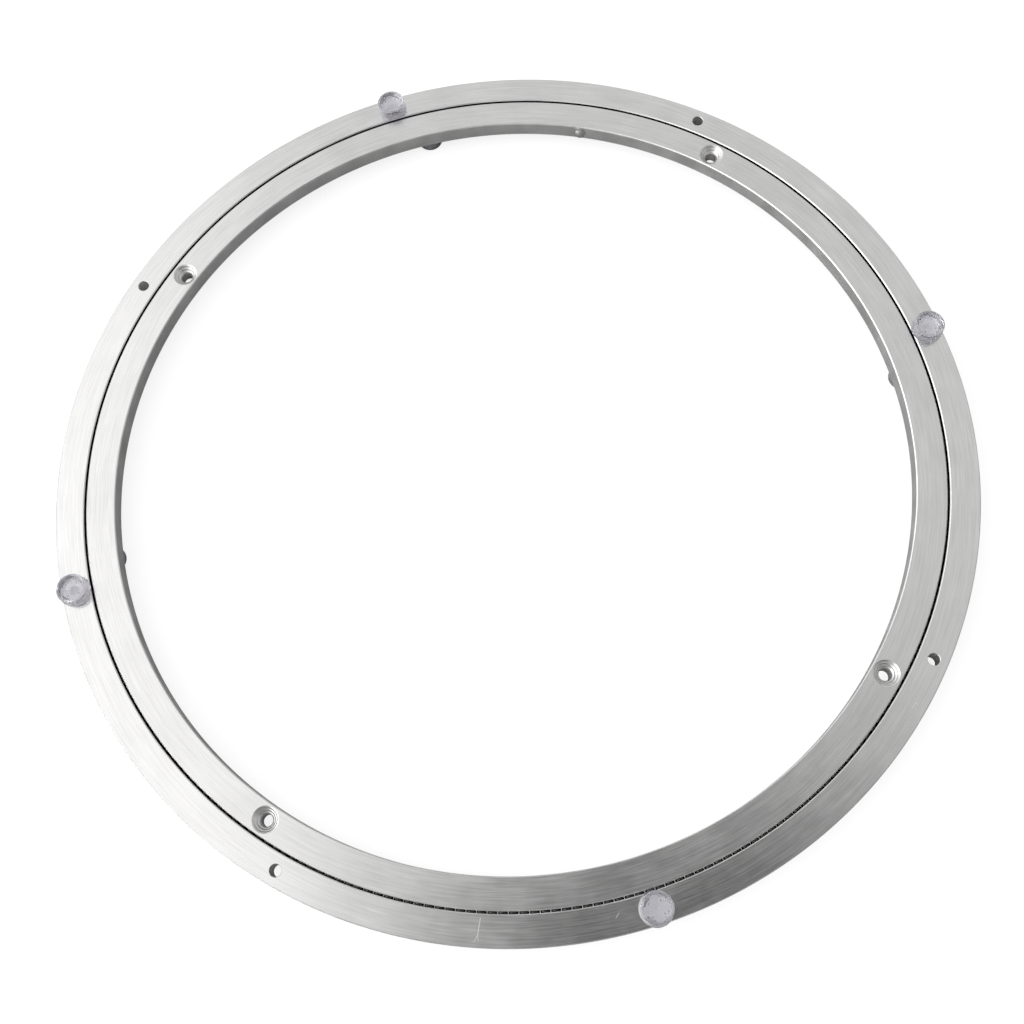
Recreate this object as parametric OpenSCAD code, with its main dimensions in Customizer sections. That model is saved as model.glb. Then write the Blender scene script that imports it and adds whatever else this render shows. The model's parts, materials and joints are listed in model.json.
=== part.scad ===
// Lazy susan turntable bearing: two flat aluminium rings, one inside the other, turning on one
// full row of steel balls. The inner ring stands on four rubber feet. The outer ring turns, and
// carries a tray or a top on four rubber bumpers.
// Millimetres. +Z up, z = 0 at the underside of the feet, origin on the axis of rotation.

/* [Rings] */
// Outside diameter of the outer ring
outer_d = 400; // [250:5:600]
// Radial width of the outer ring
outer_ring_w = 12.5; // [12:0.1:24]
// Radial width of the inner ring
inner_ring_w = 12.8; // [12:0.1:24]
// Height of both rings
ring_t = 8; // [6.6:0.1:14]
// Running gap between the two rings
ring_gap = 1; // [0.4:0.1:1.6]
// Chamfer on every edge of the rings
edge_chamfer = 0.4; // [0.2:0.05:0.6]
// Turn of the outer ring from the inner ring at rest, in degrees
outer_turn = 4.4; // [0:0.1:90]

/* [Ball bearing] */
// Diameter of one ball
ball_d = 4; // [3:0.1:4.8]
// Free space between one ball and the next
ball_gap = 0.1; // [0.05:0.01:0.4]
// Running clearance of a ball in its grooves
race_clearance = 0.05; // [0.02:0.01:0.1]

/* [Ball loading hole] */
// How much wider the loading hole is than a ball
loading_clearance = 1; // [0.4:0.1:1.4]
// Place of the loading hole round the bore, in degrees
loading_angle = 65.9; // [60:0.1:80]
// Height of the straight edge of the plug's head inside the bore
plug_edge_h = 1; // [0.4:0.1:1.4]
// Height of the dome on the plug's head
plug_dome_h = 1.1; // [0.6:0.1:1.4]

// How far the plug's end lies inside the ring's outer wall
plug_set_back = 0.05; // [0.03:0.01:0.2]

/* [Screw holes] */
// Number of screw holes in each ring
screw_count = 4; // [4:1:6]
// Diameter of a screw hole
screw_d = 5; // [4:0.1:6]
// Diameter of the countersink in the inner ring
countersink_d = 11; // [8:0.1:12]
// Included angle of the countersink, in degrees
countersink_angle = 90; // [82:1:100]
// Distance from the outer ring's outside edge to its hole circle
outer_inset = 6; // [5.5:0.1:8]
// Distance from the bore to the inner ring's hole circle
inner_inset = 6.3; // [6:0.1:8]

/* [Rubber pads] */
// Number of bumpers on the outer ring, and of feet under the inner ring
pad_count = 4; // [4:1:6]
// Diameter of a bumper where it meets the outer ring
pad_d = 13.8; // [12:0.1:14.4]
// Diameter of a bumper at its free end
pad_end_d = 13; // [12:0.1:14]
// Diameter of a foot where it meets the inner ring
foot_d = 12.4; // [12:0.1:14.4]
// Height of a pad above the ring
pad_h = 5; // [3:0.1:8]
// Radius of the rounded edge at a pad's free end
pad_round = 0.6; // [0.3:0.05:1]
// Diameter of the cup in a bumper's free end, at its rim
cup_d = 10.8; // [8:0.1:11.4]
// Diameter of the round floor of a bumper's cup
cup_floor_d = 8.6; // [6:0.1:9]
// Depth of a cup
cup_depth = 1.8; // [0.8:0.1:3]
// Width of the four lobes that widen a cup's floor
lobe_w = 3.2; // [2:0.1:5]
// Width of the floor of a bumper's cup across two opposite lobes
lobe_span = 10.2; // [7:0.1:10.6]
// Diameter of the stem that holds a pad in its socket
stem_d = 4; // [3:0.1:4.4]
// Depth of the socket for the stem
socket_depth = 4; // [3:0.1:5]
// Free space below the end of the stem
stem_gap = 0.2; // [0.1:0.05:0.4]

/* [Hidden] */
$fn = 96;
ring_fn = 180;
ball_fn = 32;
// a cut runs past the face it opens, by this much
past = 1;

// radii of the ring walls, and of the circle that the ball centres run on
outer_r = outer_d / 2;
outer_bore_r = outer_r - outer_ring_w;
inner_r = outer_bore_r - ring_gap;
bore_r = inner_r - inner_ring_w;
ball_pitch_r = (outer_bore_r + inner_r) / 2;

// heights above the table
ring_z = pad_h;
ring_top_z = ring_z + ring_t;
ball_z = ring_z + ring_t / 2;

// a full row of balls: as many as go round with the free space between them
ball_pitch = ball_d + ball_gap;
ball_count = floor(180 / asin(ball_pitch / 2 / ball_pitch_r));
ball_groups = 13;
groove_r = ball_d / 2 + race_clearance;
loading_d = ball_d + loading_clearance;
dome_steps = 6;

outer_hole_r = outer_r - outer_inset;
inner_hole_r = bore_r + inner_inset;

// a pad's stem and its socket share one width
stem_l = socket_depth - stem_gap;
half_pad_step = 180 / pad_count;
// a foot and its cup are narrower than a bumper and its cup by this much
foot_less = pad_d - foot_d;

function two_digits(i) = str(i < 10 ? "0" : "", i);
function ball_node(i) = str("bearing_balls_", two_digits(i));
function bumper_node(k) = str("bumper_", k);
function foot_node(k) = str("foot_", k);
// first ball of group i, counted from 0
function first_ball(i) = floor((i - 1) * ball_count / ball_groups);

// A flat ring with chamfered edges, from the table side up.
module flat_ring(r_in, r_out) {
    c = edge_chamfer;
    translate([0, 0, ring_z])
        rotate_extrude($fn = ring_fn)
            polygon([
                [r_in + c, 0], [r_out - c, 0], [r_out, c], [r_out, ring_t - c],
                [r_out - c, ring_t], [r_in + c, ring_t], [r_in, ring_t - c], [r_in, c]
            ]);
}

// The space that the balls sweep, with their running clearance.
module ball_race() {
    translate([0, 0, ball_z])
        rotate_extrude($fn = ring_fn)
            translate([ball_pitch_r, 0])
                circle(r = groove_r, $fn = 48);
}

// Children at equal steps round a circle of radius r.
module round_the_ring(r, count, start) {
    for (k = [0 : count - 1])
        rotate([0, 0, start + k * 360 / count])
            translate([r, 0, 0])
                children();
}

module screw_hole() {
    translate([0, 0, ring_z - past])
        cylinder(d = screw_d, h = ring_t + 2 * past);
}

module countersink() {
    depth = (countersink_d - screw_d) / 2 / tan(countersink_angle / 2);
    slope = tan(countersink_angle / 2);
    translate([0, 0, ring_top_z - depth])
        cylinder(d1 = screw_d, d2 = countersink_d + 2 * past * slope, h = depth + past);
}

// The hole through the inner ring's wall that the balls go in by, along +X.
module loading_hole() {
    translate([bore_r - past, 0, ball_z])
        rotate([0, 90, 0])
            cylinder(d = loading_d, h = inner_ring_w + 2 * past);
}

module outer_ring() {
    color("gainsboro")
        difference() {
            flat_ring(outer_bore_r, outer_r);
            ball_race();
            round_the_ring(outer_hole_r, screw_count, outer_turn + half_pad_step)
                screw_hole();
            round_the_ring(outer_hole_r, pad_count, outer_turn)
                translate([0, 0, ring_top_z - socket_depth])
                    cylinder(d = stem_d, h = socket_depth + past);
        }
}

module inner_ring() {
    color("silver")
        difference() {
            flat_ring(bore_r, inner_r);
            ball_race();
            round_the_ring(inner_hole_r, screw_count, half_pad_step) {
                screw_hole();
                countersink();
            }
            round_the_ring(inner_hole_r, pad_count, 0)
                translate([0, 0, ring_z - past])
                    cylinder(d = stem_d, h = socket_depth + past);
            rotate([0, 0, loading_angle])
                loading_hole();
        }
}

// The plug fills the loading hole, and its domed head stands inside the bore. Its flat end lies just
// inside the ring's outer wall, and is cut across to carry the groove on.
module loading_plug() {
    shank_r = loading_d / 2;
    length = inner_ring_w + plug_edge_h - plug_set_back;
    dome_r = (pow(shank_r, 2) + pow(plug_dome_h, 2)) / (2 * plug_dome_h);
    dome_angle = asin(shank_r / dome_r);
    dome = [for (k = [0 : dome_steps]) let (a = k * dome_angle / dome_steps)
        [dome_r * sin(a), dome_r * (1 - cos(a)) - plug_dome_h]];
    color("darkgray")
        rotate([0, 0, loading_angle])
            difference() {
                translate([bore_r - plug_edge_h, 0, ball_z])
                    rotate([0, 90, 0])
                        rotate_extrude()
                            polygon(concat(dome, [[shank_r, length], [0, length]]));
                translate([ball_pitch_r, 0, ball_z])
                    rotate([90, 0, 0])
                        cylinder(r = groove_r, h = loading_d + 2 * past, center = true);
            }
}

// One group of the full row of balls.
module ball_group(i) {
    color("dimgray")
        translate([0, 0, ball_z])
            for (k = [first_ball(i) : first_ball(i + 1) - 1])
                rotate([0, 0, k * 360 / ball_count])
                    translate([ball_pitch_r, 0, 0])
                        sphere(d = ball_d, $fn = ball_fn);
}

// A cone that opens from diameter d at a cup's floor to rim_d at its rim, and on past it.
module cup_cone(d, rim_d) {
    rise = (rim_d - d) / cup_depth;
    translate([0, 0, pad_h - cup_depth])
        cylinder(d1 = d, d2 = rim_d + rise * past, h = cup_depth + past);
}

// The cup in a pad's free end: a round floor with four lobes, and sloping walls. It is narrower
// than a bumper's cup by less.
module pad_cup(less) {
    cup_cone(cup_floor_d - less, cup_d - less);
    intersection() {
        cup_cone(lobe_span - less, cup_d - less);
        translate([0, 0, pad_h])
            for (turn = [0, 90])
                rotate([0, 0, turn])
                    cube([cup_d + past, lobe_w, 2 * cup_depth], center = true);
    }
}

// A rubber pad: its base lies on z = 0, its stem goes down and its cup opens upwards. It is
// narrower than a bumper by less.
module pad(less) {
    end_r = (pad_end_d - less) / 2;
    arc = [for (a = [0 : 15 : 90]) [end_r - pad_round * (1 - cos(a)), pad_h - pad_round * (1 - sin(a))]];
    color("lavender")
        union() {
            difference() {
                rotate_extrude()
                    polygon(concat([[0, 0], [(pad_d - less) / 2, 0]], arc, [[0, pad_h]]));
                pad_cup(less);
            }
            translate([0, 0, -stem_l])
                cylinder(d = stem_d, h = stem_l + past);
        }
}

module bumper(k) {
    rotate([0, 0, outer_turn + (k - 1) * 360 / pad_count])
        translate([outer_hole_r, 0, ring_top_z])
            pad(0);
}

module foot(k) {
    rotate([0, 0, (k - 1) * 360 / pad_count])
        translate([inner_hole_r, 0, ring_z])
            mirror([0, 0, 1])
                pad(foot_less);
}

outer_ring();
inner_ring();
loading_plug();
for (i = [1 : ball_groups]) ball_group(i);
for (k = [1 : pad_count]) bumper(k);
for (k = [1 : pad_count]) foot(k);
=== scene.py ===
"""The looks of the lazy susan turntable: turned aluminium rings, steel balls and clear rubber pads.

Lengths are in metres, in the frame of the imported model: +Z up, the axis of rotation at x = y = 0,
the undersides of the feet at z = 0.
"""

import json
import math

import bmesh
import bpy
from mathutils import Matrix, Vector


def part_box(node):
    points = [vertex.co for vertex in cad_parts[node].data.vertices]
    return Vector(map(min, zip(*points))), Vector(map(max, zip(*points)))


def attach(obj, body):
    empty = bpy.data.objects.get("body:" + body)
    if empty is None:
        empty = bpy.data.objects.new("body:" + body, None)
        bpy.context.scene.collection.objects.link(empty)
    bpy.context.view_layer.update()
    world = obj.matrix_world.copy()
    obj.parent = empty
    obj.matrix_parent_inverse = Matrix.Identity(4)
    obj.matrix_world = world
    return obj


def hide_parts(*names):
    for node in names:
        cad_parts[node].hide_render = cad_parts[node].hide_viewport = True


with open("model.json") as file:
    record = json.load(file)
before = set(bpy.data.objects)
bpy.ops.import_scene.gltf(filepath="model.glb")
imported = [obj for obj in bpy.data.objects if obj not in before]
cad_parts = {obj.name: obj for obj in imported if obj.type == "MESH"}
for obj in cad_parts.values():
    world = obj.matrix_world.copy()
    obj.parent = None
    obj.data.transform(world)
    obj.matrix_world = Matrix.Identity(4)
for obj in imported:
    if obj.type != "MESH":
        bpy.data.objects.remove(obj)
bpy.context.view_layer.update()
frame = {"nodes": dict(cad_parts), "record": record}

MM = 0.001
TAU = 2 * math.pi


# ---------------------------------------------------------------- sizes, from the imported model


def radii(node):
    """The smallest and the largest distance of a node's points from the axis of rotation."""
    distances = [v.co.xy.length for v in frame["nodes"][node].data.vertices]
    return min(distances), max(distances)


def mount(name):
    """A mount of the record, by its name."""
    return next(m for m in frame["record"]["mounts"] if m["name"] == name)


def middle(node):
    """The middle of a node's box."""
    low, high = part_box(node)
    return (low + high) / 2


def extent(node):
    """The size of a node's box."""
    low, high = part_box(node)
    return high - low


OUTER_BORE_R, OUTER_R = radii("outer_ring")
BORE_R, INNER_R = radii("inner_ring")
RING_Z, RING_TOP_Z = (corner.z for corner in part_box("inner_ring"))
BALL_R = extent("bearing_balls_01").z / 2
BALL_PITCH_R = (OUTER_BORE_R + INNER_R) / 2
BALL_Z = middle("bearing_balls_01").z

TRAY_HOLES = mount("tray_screw_holes")["dims"]
BASE_HOLES = mount("base_screw_holes")["dims"]
OUTER_HOLE_CIRCLE_R = TRAY_HOLES["pcd_mm"] / 2 * MM
INNER_HOLE_CIRCLE_R = BASE_HOLES["pcd_mm"] / 2 * MM
SCREW_R = TRAY_HOLES["hole_r_mm"] * MM
SCREW_COUNT = TRAY_HOLES["count"]

BUMPERS = sorted(n for n in frame["nodes"] if n.startswith("bumper_"))
FEET = sorted(n for n in frame["nodes"] if n.startswith("foot_"))
BALLS = sorted(n for n in frame["nodes"] if n.startswith("bearing_balls_"))
BUMPER_R = extent("bumper_1").x / 2
FOOT_R = extent("foot_1").x / 2
PAD_H = RING_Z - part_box("foot_1")[0].z
STEM_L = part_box("foot_1")[1].z - RING_Z
LOADING_R = extent("loading_plug").z / 2
OUTER_TURN = math.atan2(middle("bumper_1").y, middle("bumper_1").x)
PLUG_TURN = math.atan2(middle("loading_plug").y, middle("loading_plug").x)
HALF_STEP = math.pi / SCREW_COUNT

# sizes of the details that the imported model's boxes don't show
CHAMFER = 0.4 * MM
EDGE_BREAK = 0.15 * MM
BALL_PLAY = 0.05 * MM
GROOVE_R = BALL_R + BALL_PLAY
COUNTERSINK_R = 5.5 * MM
STEM_R = 2 * MM
SOCKET_DEPTH = STEM_L + 0.2 * MM

RING_STEPS, HOLE_STEPS = 720, 72  # points round a ring and round a hole
SHARP_ANGLE, PAD_SHARP_ANGLE = 25, 40  # degrees
CUT_PAST = 1 * MM  # how far a cutter reaches past the face that it opens
ON_AXIS = 1e-9  # a radius under this is a point on the axis


# ---------------------------------------------------------------- mesh helpers


def new_piece(name, bm, materials=(), sharp_angle=SHARP_ANGLE):
    """An object from a bmesh, smooth but for edges sharper than sharp_angle degrees."""
    bmesh.ops.recalc_face_normals(bm, faces=bm.faces)
    mesh = bpy.data.meshes.new(name)
    bm.to_mesh(mesh)
    bm.free()
    piece = bpy.data.objects.new(name, mesh)
    bpy.context.scene.collection.objects.link(piece)
    for each in materials:
        mesh.materials.append(each)
    shade(mesh, sharp_angle)
    return piece


def shade(mesh, sharp_angle):
    """Smooth shading, broken at edges sharper than sharp_angle degrees."""
    mesh.shade_smooth()
    mesh.set_sharp_from_angle(angle=math.radians(sharp_angle))


def circle(bm, r, z, steps):
    """A row of points round Z, or one point many times over where r is on the axis."""
    if r < ON_AXIS:
        return [bm.verts.new((0, 0, z))] * steps
    turns = (TAU * k / steps for k in range(steps))
    return [bm.verts.new((r * math.cos(t), r * math.sin(t), z)) for t in turns]


def skin(bm, rows, following):
    """Faces from each row of points to the one that follows it."""
    for row, after in zip(rows, following):
        for k in range(len(row)):
            beside = (k + 1) % len(row)
            corners = list(dict.fromkeys([row[k], row[beside], after[beside], after[k]]))
            if len(corners) > 2:
                bm.faces.new(corners)


def lathe(profile, steps):
    """A bmesh of a closed profile of (radius, height) points, turned about Z."""
    bm = bmesh.new()
    rows = [circle(bm, r, z, steps) for r, z in profile]
    skin(bm, rows, rows[1:] + rows[:1])
    return bm


def cut(piece, cutter):
    """Takes the cutter's shape out of a piece for good."""
    modifier = piece.modifiers.new("cut", "BOOLEAN")
    modifier.operation = "DIFFERENCE"
    modifier.solver = "EXACT"
    modifier.object = cutter
    bpy.context.view_layer.update()
    evaluated = piece.evaluated_get(bpy.context.evaluated_depsgraph_get())
    mesh = bpy.data.meshes.new_from_object(evaluated)
    piece.modifiers.clear()
    old, piece.data = piece.data, mesh
    bpy.data.meshes.remove(old)
    bpy.data.objects.remove(cutter)


def joined(name, bms_and_places):
    """One cutter object made of several lathe shapes, each moved to its place."""
    whole = bmesh.new()
    for bm, place in bms_and_places:
        bm.transform(place)
        part = bpy.data.meshes.new("part")
        bm.to_mesh(part)
        bm.free()
        whole.from_mesh(part)
        bpy.data.meshes.remove(part)
    return new_piece(name, whole)


def round_places(radius, count, start):
    """Transforms at equal steps round a circle."""
    return [
        Matrix.Rotation(start + k * TAU / count, 4, "Z") @ Matrix.Translation((radius, 0, 0))
        for k in range(count)
    ]


# ---------------------------------------------------------------- rings


OUTER_HOLE_PLACES = round_places(OUTER_HOLE_CIRCLE_R, SCREW_COUNT, OUTER_TURN + HALF_STEP)
INNER_HOLE_PLACES = round_places(INNER_HOLE_CIRCLE_R, SCREW_COUNT, HALF_STEP)
FACED, WALL, RACE, DRILLED = range(4)  # the materials of a ring


def groove(side):
    """Points of the ball groove in a ring's wall, from the low side up. side is +1 on the outer ring."""
    wall_r = OUTER_BORE_R if side > 0 else INNER_R
    lip = math.acos(abs(wall_r - BALL_PITCH_R) / GROOVE_R)
    steps = 20
    return [
        (BALL_PITCH_R + side * GROOVE_R * math.cos(a), BALL_Z + GROOVE_R * math.sin(a))
        for a in (-lip + 2 * lip * k / steps for k in range(steps + 1))
    ]


def ring_profile(r_in, r_out, groove_in=None, groove_out=None):
    """The cross-section of a ring, round and back: chamfered corners and a ball groove in one wall."""
    low, high, c = RING_Z, RING_TOP_Z, CHAMFER
    points = [(r_in + c, low), (r_out - c, low), (r_out, low + c)]
    points += groove_out or []
    points += [(r_out, high - c), (r_out - c, high), (r_in + c, high), (r_in, high - c)]
    points += list(reversed(groove_in or []))
    points += [(r_in, low + c)]
    return points


def hole_cutter(radius, low, high, low_break=0.0, high_break=0.0):
    """A hole from low to high, with its edges broken where a break is given."""
    low_end, high_end = low - CUT_PAST, high + CUT_PAST
    points = [(0, low_end), (radius + low_break + (CUT_PAST if low_break else 0), low_end)]
    if low_break:
        points.append((radius, low + low_break))
    if high_break:
        points.append((radius, high - high_break))
    points += [(radius + high_break + (CUT_PAST if high_break else 0), high_end), (0, high_end)]
    return lathe(points, HOLE_STEPS)


def socket_cutter(low, high):
    """The blind hole for a pad's stem."""
    return lathe([(0, low), (STEM_R, low), (STEM_R, high), (0, high)], HOLE_STEPS)


def loading_hole_cutter():
    """The hole that the balls go in by, from the bore to the groove, along +X before it is turned."""
    hole = hole_cutter(LOADING_R, BORE_R, INNER_R, low_break=EDGE_BREAK)
    hole.transform(Matrix.Rotation(math.pi / 2, 4, "Y"))
    return hole


def countersink_cutter():
    """The countersunk screw hole, with the rings that the tool left in its cone."""
    ridge_count, ridge_h, steps = 3, 0.09 * MM, 12
    low_end, high_end = RING_Z - CUT_PAST, RING_TOP_Z + CUT_PAST
    depth = COUNTERSINK_R - SCREW_R
    points = [(0, low_end), (SCREW_R + EDGE_BREAK + CUT_PAST, low_end)]
    points.append((SCREW_R, RING_Z + EDGE_BREAK))
    for k in range(ridge_count * steps + 1):
        share = k / (ridge_count * steps)
        wave = ridge_h * (math.cos(TAU * ridge_count * share) - 1) / 2
        points.append((SCREW_R + depth * share + wave, RING_TOP_Z - depth + depth * share - wave))
    points += [(COUNTERSINK_R + CUT_PAST, high_end), (0, high_end)]
    return lathe(points, HOLE_STEPS)


def make_outer_ring():
    """The turning ring, with plain screw holes and the bumpers' sockets."""
    profile = ring_profile(OUTER_BORE_R, OUTER_R, groove_in=groove(+1))
    ring = new_piece("outer_ring_turned", lathe(profile, RING_STEPS))
    holes = [
        (hole_cutter(SCREW_R, RING_Z, RING_TOP_Z, EDGE_BREAK, EDGE_BREAK), place)
        for place in OUTER_HOLE_PLACES
    ]
    sockets = [
        (socket_cutter(RING_TOP_Z - SOCKET_DEPTH, RING_TOP_Z + CUT_PAST), place)
        for place in round_places(OUTER_HOLE_CIRCLE_R, len(BUMPERS), OUTER_TURN)
    ]
    cut(ring, joined("outer_cuts", holes + sockets))
    shade(ring.data, SHARP_ANGLE)
    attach(ring, "turning_ring")
    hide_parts("outer_ring")
    return ring


def make_inner_ring():
    """The standing ring, with countersunk screw holes, the feet's sockets and the balls' loading hole."""
    profile = ring_profile(BORE_R, INNER_R, groove_out=groove(-1))
    ring = new_piece("inner_ring_turned", lathe(profile, RING_STEPS))
    holes = [(countersink_cutter(), place) for place in INNER_HOLE_PLACES]
    sockets = [
        (socket_cutter(RING_Z - CUT_PAST, RING_Z + SOCKET_DEPTH), place)
        for place in round_places(INNER_HOLE_CIRCLE_R, len(FEET), 0)
    ]
    loading_place = Matrix.Translation((0, 0, BALL_Z)) @ Matrix.Rotation(PLUG_TURN, 4, "Z")
    loading = [(loading_hole_cutter(), loading_place)]
    cut(ring, joined("inner_cuts", holes + sockets + loading))
    shade(ring.data, SHARP_ANGLE)
    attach(ring, "standing_ring")
    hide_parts("inner_ring")
    return ring


# ---------------------------------------------------------------- shader node helpers


def node(tree, kind, inputs=None, **settings):
    """A shader node with its settings. An input is a number, a colour or another node's socket."""
    made = tree.nodes.new("ShaderNode" + kind)
    for key, value in settings.items():
        setattr(made, key, value)
    for key, value in (inputs or {}).items():
        if isinstance(value, bpy.types.NodeSocket):
            tree.links.new(value, made.inputs[key])
        else:
            made.inputs[key].default_value = value
    return made


def maths(tree, operation, *values):
    """The result of a Math node."""
    return node(tree, "Math", dict(enumerate(values)), operation=operation).outputs[0]


def vector_maths(tree, operation, *values, output=0):
    """The result of a Vector Math node: output is "Value" where that is a number."""
    made = node(tree, "VectorMath", dict(enumerate(values)), operation=operation)
    return made.outputs[output]


def ramp(tree, value, low, high, to_low, to_high, smooth=True):
    """value carried from the range low..high to to_low..to_high, and held at its ends."""
    made = node(tree, "MapRange", {
        "Value": value, "From Min": low, "From Max": high, "To Min": to_low, "To Max": to_high,
    }, interpolation_type="SMOOTHSTEP" if smooth else "LINEAR")
    return made.outputs["Result"]


def noise(tree, vector, scale, detail=2.0, roughness=0.5):
    """Soft noise from 0 to 1, mostly near a half."""
    made = node(tree, "TexNoise", {
        "Vector": vector, "Scale": scale, "Detail": detail, "Roughness": roughness,
    })
    return made.outputs["Fac"]


def blend_colours(tree, share, first, second):
    """The first colour where share is 0 and the second where it is 1."""
    made = node(tree, "Mix", data_type="RGBA")
    for socket, value in zip((made.inputs[0], made.inputs[6], made.inputs[7]), (share, first, second)):
        if isinstance(value, bpy.types.NodeSocket):
            tree.links.new(value, socket)
        else:
            socket.default_value = value
    return made.outputs[2]


def new_material(name, **sockets):
    """A material with its Principled shader's sockets set, and its tree and shader to add detail to."""
    material = bpy.data.materials.new(name)
    material.use_nodes = True
    tree = material.node_tree
    shader = tree.nodes["Principled BSDF"]
    for key, value in sockets.items():
        shader.inputs[key.replace("_", " ")].default_value = value
    return material, tree, shader


def grey(level, warmth=0.0):
    """A neutral colour, a little warmer where warmth is over 0."""
    return (level * (1 + warmth), level, level * (1 - warmth), 1)


# ---------------------------------------------------------------- materials


def round_coordinates(tree, around, across):
    """Coordinates that run round the axis: around is the units in a radian, across the units in a metre."""
    place = node(tree, "TexCoord").outputs["Object"]
    flat = vector_maths(tree, "MULTIPLY", place, (1, 1, 0))
    radius = vector_maths(tree, "LENGTH", flat, output="Value")
    turn = vector_maths(tree, "SCALE", vector_maths(tree, "NORMALIZE", flat))
    turn.node.inputs["Scale"].default_value = around
    out = node(tree, "CombineXYZ", {"Z": maths(tree, "MULTIPLY", radius, across)}).outputs[0]
    return vector_maths(tree, "ADD", turn, out)


def scratch(tree, place, start, end, width):
    """1 inside a thin scratch from start to end on a ring's top face, and 0 elsewhere. Millimetres."""
    first, last = Vector((*start, 0)) * MM, Vector((*end, 0)) * MM
    along = (last - first).normalized()
    across = Vector((-along.y, along.x, 0))
    done = vector_maths(tree, "DOT_PRODUCT", place, tuple(along), output="Value")
    aside = vector_maths(tree, "DOT_PRODUCT", place, tuple(across), output="Value")
    aside = maths(tree, "ABSOLUTE", maths(tree, "SUBTRACT", aside, first.dot(across)))
    ends = [first.dot(along), last.dot(along)]
    inside = ramp(tree, done, ends[0] - 0.5 * MM, ends[0] + 0.5 * MM, 0.0, 1.0)
    stop = ramp(tree, done, ends[1] - 0.5 * MM, ends[1] + 0.5 * MM, 1.0, 0.0)
    inside = maths(tree, "MULTIPLY", inside, stop)
    return maths(tree, "MULTIPLY", inside, ramp(tree, aside, 0.2 * width * MM, 0.5 * width * MM, 1.0, 0.0))


def turned_face(name, level, rough, scratches=()):
    """A faced aluminium surface: fine rings from the lathe tool, faint blotches and a few scratches."""
    material, tree, shader = new_material(name, Metallic=1.0, Anisotropic=0.35, Anisotropic_Rotation=0.25)
    place = node(tree, "TexCoord").outputs["Object"]
    rings = noise(tree, round_coordinates(tree, 11, 1650), 1.0, detail=2, roughness=0.5)
    bands = noise(tree, round_coordinates(tree, 2.5, 260), 1.0, detail=2)
    blotches = noise(tree, place, 55, detail=3, roughness=0.6)

    tone = maths(tree, "ADD", ramp(tree, rings, 0.25, 0.75, -0.038, 0.038, False),
                 ramp(tree, bands, 0.3, 0.7, -0.006, 0.006, False))
    tone = maths(tree, "ADD", tone, ramp(tree, blotches, 0.35, 0.65, 0.485, 0.515, False))
    colour = blend_colours(tree, tone, grey(0.0), grey(2 * level, 0.006))
    tree.links.new(colour, shader.inputs["Base Color"])

    roughness = maths(tree, "ADD", ramp(tree, rings, 0.3, 0.7, rough - 0.02, rough + 0.02, False),
                      ramp(tree, blotches, 0.4, 0.7, -0.01, 0.03, False))
    for start, end, width in scratches:
        mark = maths(tree, "MULTIPLY", scratch(tree, place, start, end, width), 0.35)
        roughness = maths(tree, "ADD", roughness, mark)
    tree.links.new(roughness, shader.inputs["Roughness"])

    bump = node(tree, "Bump", {"Height": rings, "Distance": 4e-6, "Strength": 1.0})
    tree.links.new(bump.outputs[0], shader.inputs["Normal"])
    tangent = node(tree, "Tangent", direction_type="RADIAL", axis="Z")
    tree.links.new(tangent.outputs[0], shader.inputs["Tangent"])
    return material


def turned_wall(name, level, rough):
    """A wall or a chamfer cut on the lathe: fine rings one above the other."""
    material, tree, shader = new_material(name, Metallic=1.0)
    place = node(tree, "TexCoord").outputs["Object"]
    height = node(tree, "SeparateXYZ", {0: place}).outputs["Z"]
    layers = node(tree, "CombineXYZ", {"X": maths(tree, "MULTIPLY", height, 2500)}).outputs[0]
    stacked = vector_maths(tree, "ADD", round_coordinates(tree, 6, 900), layers)
    rings = noise(tree, stacked, 1.0, detail=3, roughness=0.6)
    stains = noise(tree, place, 90, detail=3)
    tone = maths(tree, "ADD", ramp(tree, rings, 0.25, 0.75, 0.46, 0.54, False),
                 ramp(tree, stains, 0.35, 0.65, -0.03, 0.03, False))
    tree.links.new(blend_colours(tree, tone, grey(0.0), grey(2 * level, 0.006)), shader.inputs["Base Color"])
    dull = ramp(tree, stains, 0.3, 0.7, rough - 0.05, rough + 0.05, False)
    tree.links.new(dull, shader.inputs["Roughness"])
    bump = node(tree, "Bump", {"Height": rings, "Distance": 4e-6, "Strength": 1.0})
    tree.links.new(bump.outputs[0], shader.inputs["Normal"])
    return material


def race_grease_and_painted_shade():
    """The walls of the ball groove: a film of grease, darkened far beyond it as painted shade in the narrow
    gap between the rings.
    """
    material, tree, shader = new_material("race_grease_and_painted_shade", Metallic=1.0)
    smear = noise(tree, node(tree, "TexCoord").outputs["Object"], 400, detail=4, roughness=0.6)
    # near-black colour: grease and painted shade of the gap between the rings
    colour = blend_colours(tree, smear, grey(0.01), grey(0.08, 0.03))
    tree.links.new(colour, shader.inputs["Base Color"])
    tree.links.new(ramp(tree, smear, 0.3, 0.7, 0.25, 0.5), shader.inputs["Roughness"])
    return material


def ball_steel_grease_and_painted_shade():
    """Polished bearing steel under a thin, uneven film of grease, darkened to near black as painted shade of
    the narrow slot the balls lie in.
    """
    material, tree, shader = new_material("ball_steel_grease_and_painted_shade", Metallic=1.0)
    place = node(tree, "TexCoord").outputs["Object"]
    film = noise(tree, place, 900, detail=3)
    # near-black colour: a grease film and painted shade of the slot
    colour = blend_colours(tree, film, grey(0.03, 0.01), grey(0.12, 0.01))
    tree.links.new(colour, shader.inputs["Base Color"])
    tree.links.new(ramp(tree, film, 0.3, 0.7, 0.08, 0.20), shader.inputs["Roughness"])
    return material


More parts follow.
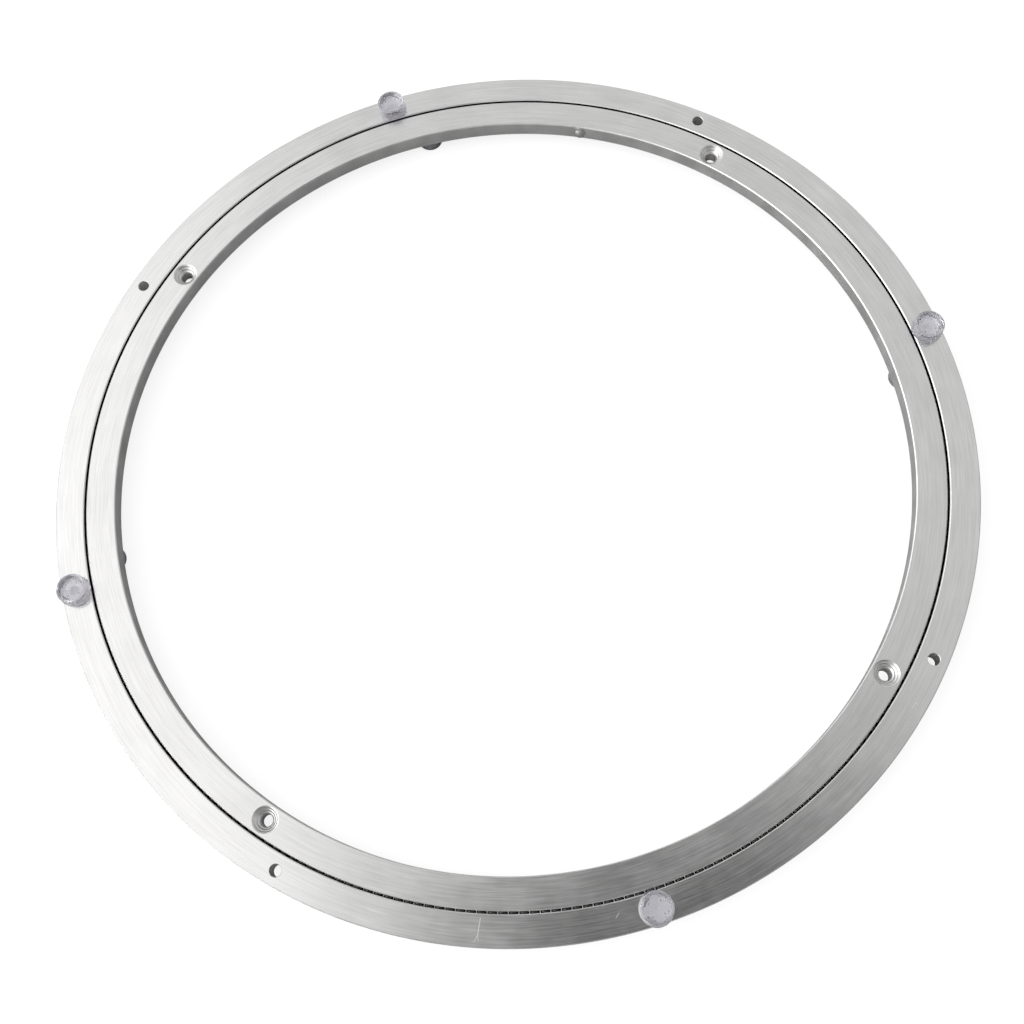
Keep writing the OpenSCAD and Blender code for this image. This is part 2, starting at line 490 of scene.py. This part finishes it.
def moulded_rubber(name, clarity, rough, depth=1.0, grain_h=8e-6):
    """Soft clear rubber with a fine grain: clarity is the share of light that passes straight through."""
    material, tree, shader = new_material(name, IOR=1.36, Transmission_Weight=clarity)
    place = node(tree, "TexCoord").outputs["Object"]
    milk = noise(tree, place, 350, detail=3)
    # depth scales the whole colour; below 1, as on the cup walls, it is painted shade
    thin = (0.93 * depth, 0.92 * depth, 0.97 * depth, 1)
    thick = (0.83 * depth, 0.82 * depth, 0.88 * depth, 1)
    colour = blend_colours(tree, milk, thick, thin)
    tree.links.new(colour, shader.inputs["Base Color"])
    tree.links.new(ramp(tree, milk, 0.3, 0.7, rough - 0.03, rough + 0.05), shader.inputs["Roughness"])
    grain = noise(tree, place, 5000, detail=2)
    bump = node(tree, "Bump", {"Height": grain, "Distance": grain_h, "Strength": 0.6})
    tree.links.new(bump.outputs[0], shader.inputs["Normal"])
    return material


# ---------------------------------------------------------------- pads


# the cup in a pad's end, with four lobes in its floor, four dimples and the mark of the mould's gate
CUP_R, CUP_FLOOR_R, LOBE_FLOOR_R, CUP_DEPTH = 5.4 * MM, 4.3 * MM, 5.1 * MM, 1.8 * MM
LOBE_HALF_W, LOBE_ROUND = 1.6 * MM, 0.1 * MM
DIMPLE_PLACE_R, DIMPLE_R, DIMPLE_DEPTH = 3.5 * MM, 0.35 * MM, 0.15 * MM
GATE_R, GATE_DEPTH = 0.5 * MM, 0.1 * MM
PAD_END_R, PAD_ROUND, SEAT_ROUND = 6.5 * MM, 0.6 * MM, 0.3 * MM
SEAT_SINK = 0.02 * MM  # keeps a pad's faces from lying in the ring's faces
PAD_STEPS, PAD_FACE_ROWS, PAD_ROUND_STEPS = 192, 72, 8
CLEAR, CUP_FLOOR, CUP_WALL = range(3)  # the materials of a pad


def smooth_step(x):
    """0 up to x = 0, 1 from x = 1, and smooth between."""
    x = min(1.0, max(0.0, x))
    return x * x * (3 - 2 * x)


def cup_floor_edge(turn, less):
    """How far from the centre the cup's floor reaches, in a direction: further in the four lobes."""
    floor_r = CUP_FLOOR_R - less
    across = min(abs(math.sin(turn)), abs(math.cos(turn))) * floor_r
    share = smooth_step((LOBE_HALF_W + LOBE_ROUND - across) / (2 * LOBE_ROUND))
    return floor_r + (LOBE_FLOOR_R - CUP_FLOOR_R) * share


def dimple_distance(x, y, less):
    """How far a point of the cup's floor is from the nearest of the four small dimples in it."""
    place_r = DIMPLE_PLACE_R - less
    return min(math.hypot(x - place_r * math.cos(a), y - place_r * math.sin(a))
               for a in (math.pi / 4 + k * math.pi / 2 for k in range(4)))


def cup_height(r, turn, less):
    """The height of the pad's end face: the rim at 0, the cup below it, with small marks in its floor."""
    edge = cup_floor_edge(turn, less)
    height = CUP_DEPTH * (min(1.0, max(0.0, (r - edge) / (CUP_R - less - edge))) - 1)
    away = dimple_distance(r * math.cos(turn), r * math.sin(turn), less)
    height -= DIMPLE_DEPTH * smooth_step(1.5 - away / DIMPLE_R)
    height -= GATE_DEPTH * smooth_step(1.5 - r / GATE_R)
    return height


def pad_mesh(less):
    """A pad on its stem, end face up and its seat at z = 0; less is what a foot's radius lacks."""
    rim_z, end_r, seat_r, stem_r = PAD_H + SEAT_SINK, PAD_END_R - less, BUMPER_R - less, STEM_R + SEAT_SINK
    shoulder = [
        (end_r - PAD_ROUND * (1 - math.sin(a)), rim_z - PAD_ROUND * (1 - math.cos(a)))
        for a in (math.pi / 2 * k / PAD_ROUND_STEPS for k in range(PAD_ROUND_STEPS + 1))
    ]
    seat = [(seat_r, SEAT_ROUND), (seat_r - SEAT_ROUND, 0.0)]
    stem = [(stem_r, 0.0), (stem_r, -STEM_L), (0, -STEM_L)]
    bm = bmesh.new()
    rows = [circle(bm, 0, rim_z + cup_height(0, 0, less), PAD_STEPS)]
    for i in range(1, PAD_FACE_ROWS + 1):
        r = shoulder[0][0] * i / PAD_FACE_ROWS
        turns = (TAU * k / PAD_STEPS for k in range(PAD_STEPS))
        rows.append([
            bm.verts.new((r * math.cos(t), r * math.sin(t), rim_z + cup_height(r, t, less))) for t in turns
        ])
    rows += [circle(bm, r, z, PAD_STEPS) for r, z in shoulder[1:] + seat + stem]
    skin(bm, rows, rows[1:])
    return bm


def make_pad(node_name, body, up, materials):
    """One pad at a CAD pad's place: up is +1 for a bumper on top and -1 for a foot below."""
    place = middle(node_name)
    turn = math.atan2(place.y, place.x)
    less = 0 if up > 0 else BUMPER_R - FOOT_R
    bm = pad_mesh(less)
    for face in bm.faces:
        x, y, z = face.calc_center_median()
        r, edge = math.hypot(x, y), cup_floor_edge(math.atan2(y, x), less)
        in_cup = z > PAD_H - CUP_DEPTH - 1 * MM and r < CUP_R - less
        in_dimple = dimple_distance(x, y, less) < DIMPLE_R
        if not in_cup:
            face.material_index = CLEAR
        elif r < edge and not in_dimple:
            face.material_index = CUP_FLOOR
        else:
            face.material_index = CUP_WALL
    if up < 0:
        bm.transform(Matrix.Rotation(math.pi, 4, "X"))
    seat = RING_TOP_Z - SEAT_SINK if up > 0 else RING_Z + SEAT_SINK
    bm.transform(Matrix.Translation((place.x, place.y, seat)) @ Matrix.Rotation(turn, 4, "Z"))
    pad = new_piece(node_name + "_moulded", bm, materials, PAD_SHARP_ANGLE)
    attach(pad, body)
    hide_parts(node_name)


def dress(node_name, material):
    """Gives a CAD node, whose own shape is shown, a finished material."""
    for each in frame["nodes"][node_name].material_slots:
        each.material = material


# ---------------------------------------------------------------- the object


# thin scratches in the outer ring's top face: start, end and width, in millimetres from the axis
SCRATCHES = (
    ((-51.4, -182.1), (-53.7, -187.8), 0.35),
    ((-53.7, -187.8), (-55.7, -189.8), 0.25),
    ((-53.7, -187.8), (-53.8, -189.9), 0.25),
    ((132.4, -143.1), (135.0, -140.9), 0.3),
    ((135.0, -140.9), (135.2, -142.6), 0.3),
    ((-0.9, -193.3), (0.6, -191.8), 0.25),
)


def sort_ring_faces(ring, materials, hole_places):
    """Gives the faces of a ring their materials, by where they are and which way they face."""
    mesh = ring.data
    mesh.materials.clear()
    for each in materials:
        mesh.materials.append(each)
    centres = [place.translation.xy for place in hole_places]
    for face in mesh.polygons:
        near_hole = min((face.center.xy - c).length for c in centres) < COUNTERSINK_R
        sunk = face.normal.z > 0.3 and face.center.z < RING_TOP_Z - 0.02 * MM
        in_groove = abs(face.center.xy.length - BALL_PITCH_R) < GROOVE_R
        if near_hole and sunk:
            face.material_index = DRILLED
        elif abs(face.normal.z) > 0.9:
            face.material_index = FACED
        elif in_groove and not near_hole and face.center.z < RING_TOP_Z - CHAMFER:
            face.material_index = RACE
        else:
            face.material_index = WALL


def make_rings():
    """Both rings, turned and drilled, with their materials."""
    outer_face = turned_face("outer_face", 0.90, 0.20, SCRATCHES)
    inner_face = turned_face("inner_face", 0.88, 0.23)
    wall, race = turned_wall("turned_wall", 0.88, 0.45), race_grease_and_painted_shade()
    drilled = turned_wall("drilled", 0.74, 0.32)
    sort_ring_faces(make_outer_ring(), (outer_face, wall, race, drilled), OUTER_HOLE_PLACES)
    sort_ring_faces(make_inner_ring(), (inner_face, wall, race, drilled), INNER_HOLE_PLACES)


def make_pads():
    """The bumpers and the feet, clear with a frosted cup."""
    rubber = moulded_rubber("clear_rubber", 0.80, 0.05, depth=1.04, grain_h=1.5e-6)
    frosted = moulded_rubber("frosted_rubber", 0.42, 0.35, depth=1.04)
    # the cup walls' darker colour (depth 0.76) is painted shade on the cup's sloping walls
    cup_wall = moulded_rubber("cup_wall_rubber_painted_shade", 0.75, 0.12, depth=0.76, grain_h=1.5e-6)
    for name in BUMPERS:
        make_pad(name, "turning_ring", +1, (rubber, frosted, cup_wall))
    for name in FEET:
        make_pad(name, "standing_ring", -1, (rubber, frosted, cup_wall))


def dress_cad_pieces():
    """New materials for the balls and the plug, whose CAD shapes are shown."""
    steel = ball_steel_grease_and_painted_shade()
    for name in BALLS:
        dress(name, steel)
    # the plug's darker level (0.55) is painted shade that keeps its dome from catching a highlight
    dress("loading_plug", turned_wall("plug_metal_painted_shade", 0.55, 0.60))


make_rings()
make_pads()
dress_cad_pieces()


# ---------------------------------------------------------------- floor, light and camera


def make_floor():
    """A plain white table under the feet."""
    bm = bmesh.new()
    bmesh.ops.create_grid(bm, x_segments=1, y_segments=1, size=8.0)
    floor = new_piece("floor", bm)
    material, tree, shader = new_material("white_table")
    tree.nodes.remove(shader)
    tint = noise(tree, node(tree, "TexCoord").outputs["Object"], 3.0)
    grey_top = node(tree, "BsdfDiffuse", {"Color": blend_colours(tree, tint, grey(0.34), grey(0.38))})
    glow = node(tree, "Emission", {"Color": grey(1.0), "Strength": 0.81})
    bright = node(tree, "AddShader", {0: grey_top.outputs[0], 1: glow.outputs[0]})
    seen = node(tree, "LightPath").outputs["Is Camera Ray"]
    mixed = node(tree, "MixShader", {0: seen, 1: grey_top.outputs[0], 2: bright.outputs[0]})
    tree.links.new(mixed.outputs[0], tree.nodes["Material Output"].inputs["Surface"])
    floor.data.materials.append(material)


def make_light():
    """A soft pale studio: brighter from the left, with a dark patch overhead where the camera hangs."""
    world = bpy.data.worlds.new("studio")
    bpy.context.scene.world = world
    world.use_nodes = True
    tree = world.node_tree
    direction = node(tree, "TexCoord").outputs["Generated"]

    # brighter the further left, with a strong panel far to the left
    left = vector_maths(tree, "DOT_PRODUCT", direction, (-1, -0.06, 0), output="Value")
    level = ramp(tree, left, -0.02, 0.30, 0.64, 1.07)
    level = maths(tree, "SUBTRACT", level, ramp(tree, left, -0.40, -0.05, 0.04, 0.0))
    level = maths(tree, "ADD", level, ramp(tree, left, 0.50, 0.95, 0.0, 1.7))

    # dimmer towards the front, where the photographer stands
    front = vector_maths(tree, "DOT_PRODUCT", direction, (0, -1, 0), output="Value")
    level = maths(tree, "MULTIPLY", level, ramp(tree, front, 0.30, 0.80, 1.0, 0.28))

    # dark overhead
    overhead = Vector((0.055, -0.09, 1)).normalized()
    close = vector_maths(tree, "DOT_PRODUCT", direction, tuple(overhead), output="Value")
    away = maths(tree, "ARCCOSINE", maths(tree, "MINIMUM", close, 1.0))
    patch = ramp(tree, away, math.radians(3.5), math.radians(22), 0.08, 1.0)
    strength = maths(tree, "MULTIPLY", level, patch)

    # plain white where the camera sees it
    seen = node(tree, "LightPath").outputs["Is Camera Ray"]
    strength = maths(tree, "MAXIMUM", strength, maths(tree, "MULTIPLY", seen, 1.06))
    back = tree.nodes["Background"]
    back.inputs["Color"].default_value = grey(1.0)
    tree.links.new(strength, back.inputs["Strength"])


def make_camera():
    """A 40.6 mm lens half a metre from the rings, looking down at 68 degrees and a little rolled."""
    data = bpy.data.cameras.new("camera")
    data.lens, data.sensor_width = 40.60, 36
    camera = bpy.data.objects.new("camera", data)
    bpy.context.scene.collection.objects.link(camera)
    distance, elevation = 503.04 * MM, 67.997
    ring_turn, roll, pan, tilt = -3.4, -9.872, -0.2094, -2.6797
    around = [(ring_turn, "Z"), (90 - elevation, "X"), (roll, "Z"), (pan, "Y"), (tilt, "X")]
    turned = Matrix.Identity(4)
    for angle, axis in around:
        turned = turned @ Matrix.Rotation(math.radians(angle), 4, axis)
    away = Matrix.Rotation(math.radians(ring_turn), 4, "Z") @ Vector((
        0, -distance * math.cos(math.radians(elevation)), distance * math.sin(math.radians(elevation)),
    ))
    camera.matrix_world = Matrix.Translation(away + Vector((0, 0, RING_TOP_Z))) @ turned
    bpy.context.scene.camera = camera


make_floor()
make_light()
make_camera()
bpy.context.scene.view_settings.view_transform = "Standard"
